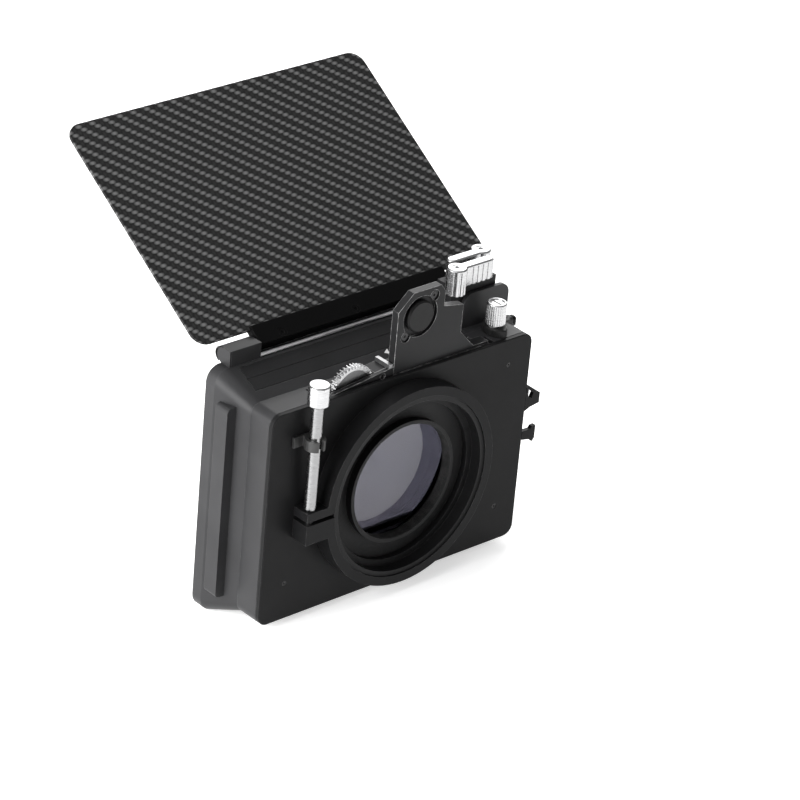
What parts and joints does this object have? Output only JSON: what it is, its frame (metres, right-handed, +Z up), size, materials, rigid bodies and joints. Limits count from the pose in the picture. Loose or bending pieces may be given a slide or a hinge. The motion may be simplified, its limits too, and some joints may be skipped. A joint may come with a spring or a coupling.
{
  "type": "camera matte box",
  "caption": "Clip-on camera matte box: rectangular lens hood with tilting carbon top flag, lift-out filter trays, geared drop-in polariser and split lens clamp.",
  "frame": {"origin": "on the optical axis, at the rear face of the rear plate, inside the length of the lens adapter's thread", "axes": "+Y forward along the optical axis, away from the camera; +X to the right as seen from behind; +Z up"},
  "size_m": [0.1898, 0.172, 0.2177],
  "materials": {
    "plate_black": "fine matt black anodised plate",
    "body_black": "satin black anodised, soft sheen",
    "hinge_black": "satin black anodised",
    "tray_black": "matt black anodised",
    "handle_black": "matt black anodised with bright-cut edges",
    "adapter_black": "anti-glare black anodised, fine turned rings",
    "screw_black": "black oxide steel",
    "steel": "plain steel",
    "silver": "clear anodised, satin",
    "bar_grey": "satin grey anodised",
    "gear_grey": "grey anodised, satin",
    "button_black": "semi-gloss black",
    "black_polymer": "black acetal",
    "carbon_fibre": "twill carbon laminate, satin clear coat",
    "polariser_glass": "coated dark polarising glass"
  },
  "bodies": {
    "housing": {"rear_plate": "plate_black", "plate_screws": "screw_black", "filter_stage": "body_black", "front_hood": "body_black", "side_rail_left": "body_black", "side_rail_right": "body_black", "tray_guides": "body_black", "tray_guard": "body_black", "stage_screws": "screw_black", "hinge_block_left": "hinge_black", "hinge_block_right": "hinge_black", "hinge_block_screws": "screw_black", "hinge_end_caps": "hinge_black", "hinge_pins": "steel", "hinge_washers": "black_polymer", "hinge_cross_bar": "bar_grey", "clamp_ring": "plate_black", "rod_clip": "black_polymer", "dropin_lock_stud": "steel", "tray_lock_boss": "body_black", "tray_lock_spring": "steel", "side_hooks": "plate_black"},
    "flag": {"flag_bracket": "hinge_black", "flag_clamp_strip": "hinge_black", "flag_screws": "screw_black", "flag_panel": "carbon_fibre"},
    "clamp_screw": {"clamp_screw_rod": "silver", "clamp_screw_knob": "silver"},
    "adapter": {"lens_adapter_ring": "adapter_black"},
    "dropin": {"dropin_cover": "handle_black", "dropin_screws": "screw_black", "dropin_frame": "handle_black", "fixed_polariser": "polariser_glass", "thumb_wheel_axle": "steel", "shoulder_stop": "bar_grey", "handle_plate": "handle_black", "handle_screws": "screw_black", "handle_foot_screws": "screw_black", "handle_button_spring": "steel"},
    "polariser_ring": {"ring_gear": "gear_grey", "turning_polariser": "polariser_glass", "polariser_retainer": "adapter_black"},
    "wheel": {"thumb_wheel": "silver", "thumb_wheel_hub": "gear_grey"},
    "handle_button": {"handle_button": "button_black"},
    "rear_tray": {"rear_tray_frame": "tray_black", "rear_tray_spring": "steel", "rear_tray_grip": "silver", "rear_tray_grip_screw": "steel"},
    "front_tray": {"front_tray_frame": "tray_black", "front_tray_spring": "steel", "front_tray_grip": "silver", "front_tray_grip_screw": "steel"},
    "dropin_lock": {"dropin_lock_cam": "button_black", "dropin_lock_thumb_screw": "silver"},
    "tray_lock": {"tray_lock_button": "button_black"}
  },
  "joints": [
    {"name": "flag_tilt", "type": "hinge", "parent": "housing", "child": "flag", "pos_m": [0, 0.044, 0.0734], "axis": [1, 0, 0], "range_deg": [-122.5, 17.5]},
    {"name": "clamp_screw_turn", "type": "hinge", "parent": "housing", "child": "clamp_screw", "pos_m": [-0.0628, -0.0065, 0.03], "axis": [0, 0, 1], "range_deg": [0, 720]},
    {"name": "adapter_turn", "type": "hinge", "parent": "housing", "child": "adapter", "pos_m": [0, 0, 0], "axis": [0, 1, 0], "continuous": true},
    {"name": "dropin_lift", "type": "slide", "parent": "housing", "child": "dropin", "axis": [0, 0, 1], "range_m": [0, 0.11]},
    {"name": "polariser_turn", "type": "hinge", "parent": "dropin", "child": "polariser_ring", "pos_m": [0, 0.0076, 0], "axis": [0, 1, 0], "range_deg": [0, 90]},
    {"name": "wheel_turn", "type": "hinge", "parent": "dropin", "child": "wheel", "pos_m": [-0.02966, 0.0076, 0.0549], "axis": [0, 1, 0], "range_deg": [-332, 0]},
    {"name": "handle_button_press", "type": "slide", "parent": "dropin", "child": "handle_button", "axis": [0, 1, 0], "range_m": [0, 0.0008], "stiffness_N_per_m": 300, "springref_m": -0.002},
    {"name": "rear_tray_lift", "type": "slide", "parent": "housing", "child": "rear_tray", "axis": [0, 0, 1], "range_m": [0, 0.1]},
    {"name": "front_tray_lift", "type": "slide", "parent": "housing", "child": "front_tray", "axis": [0, 0, 1], "range_m": [0, 0.1]},
    {"name": "dropin_lock_turn", "type": "hinge", "parent": "housing", "child": "dropin_lock", "pos_m": [0.0675, 0.0102, 0.06], "axis": [0, 0, 1], "range_deg": [0, 90]},
    {"name": "tray_lock_press", "type": "slide", "parent": "housing", "child": "tray_lock", "axis": [-1, 0, 0], "range_m": [0, 0.0009], "stiffness_N_per_m": 300, "springref_m": -0.002}
  ],
  "couplings": [
    {"joint": "wheel_turn", "follows": "polariser_turn", "ratio": -3.6829}
  ]
}
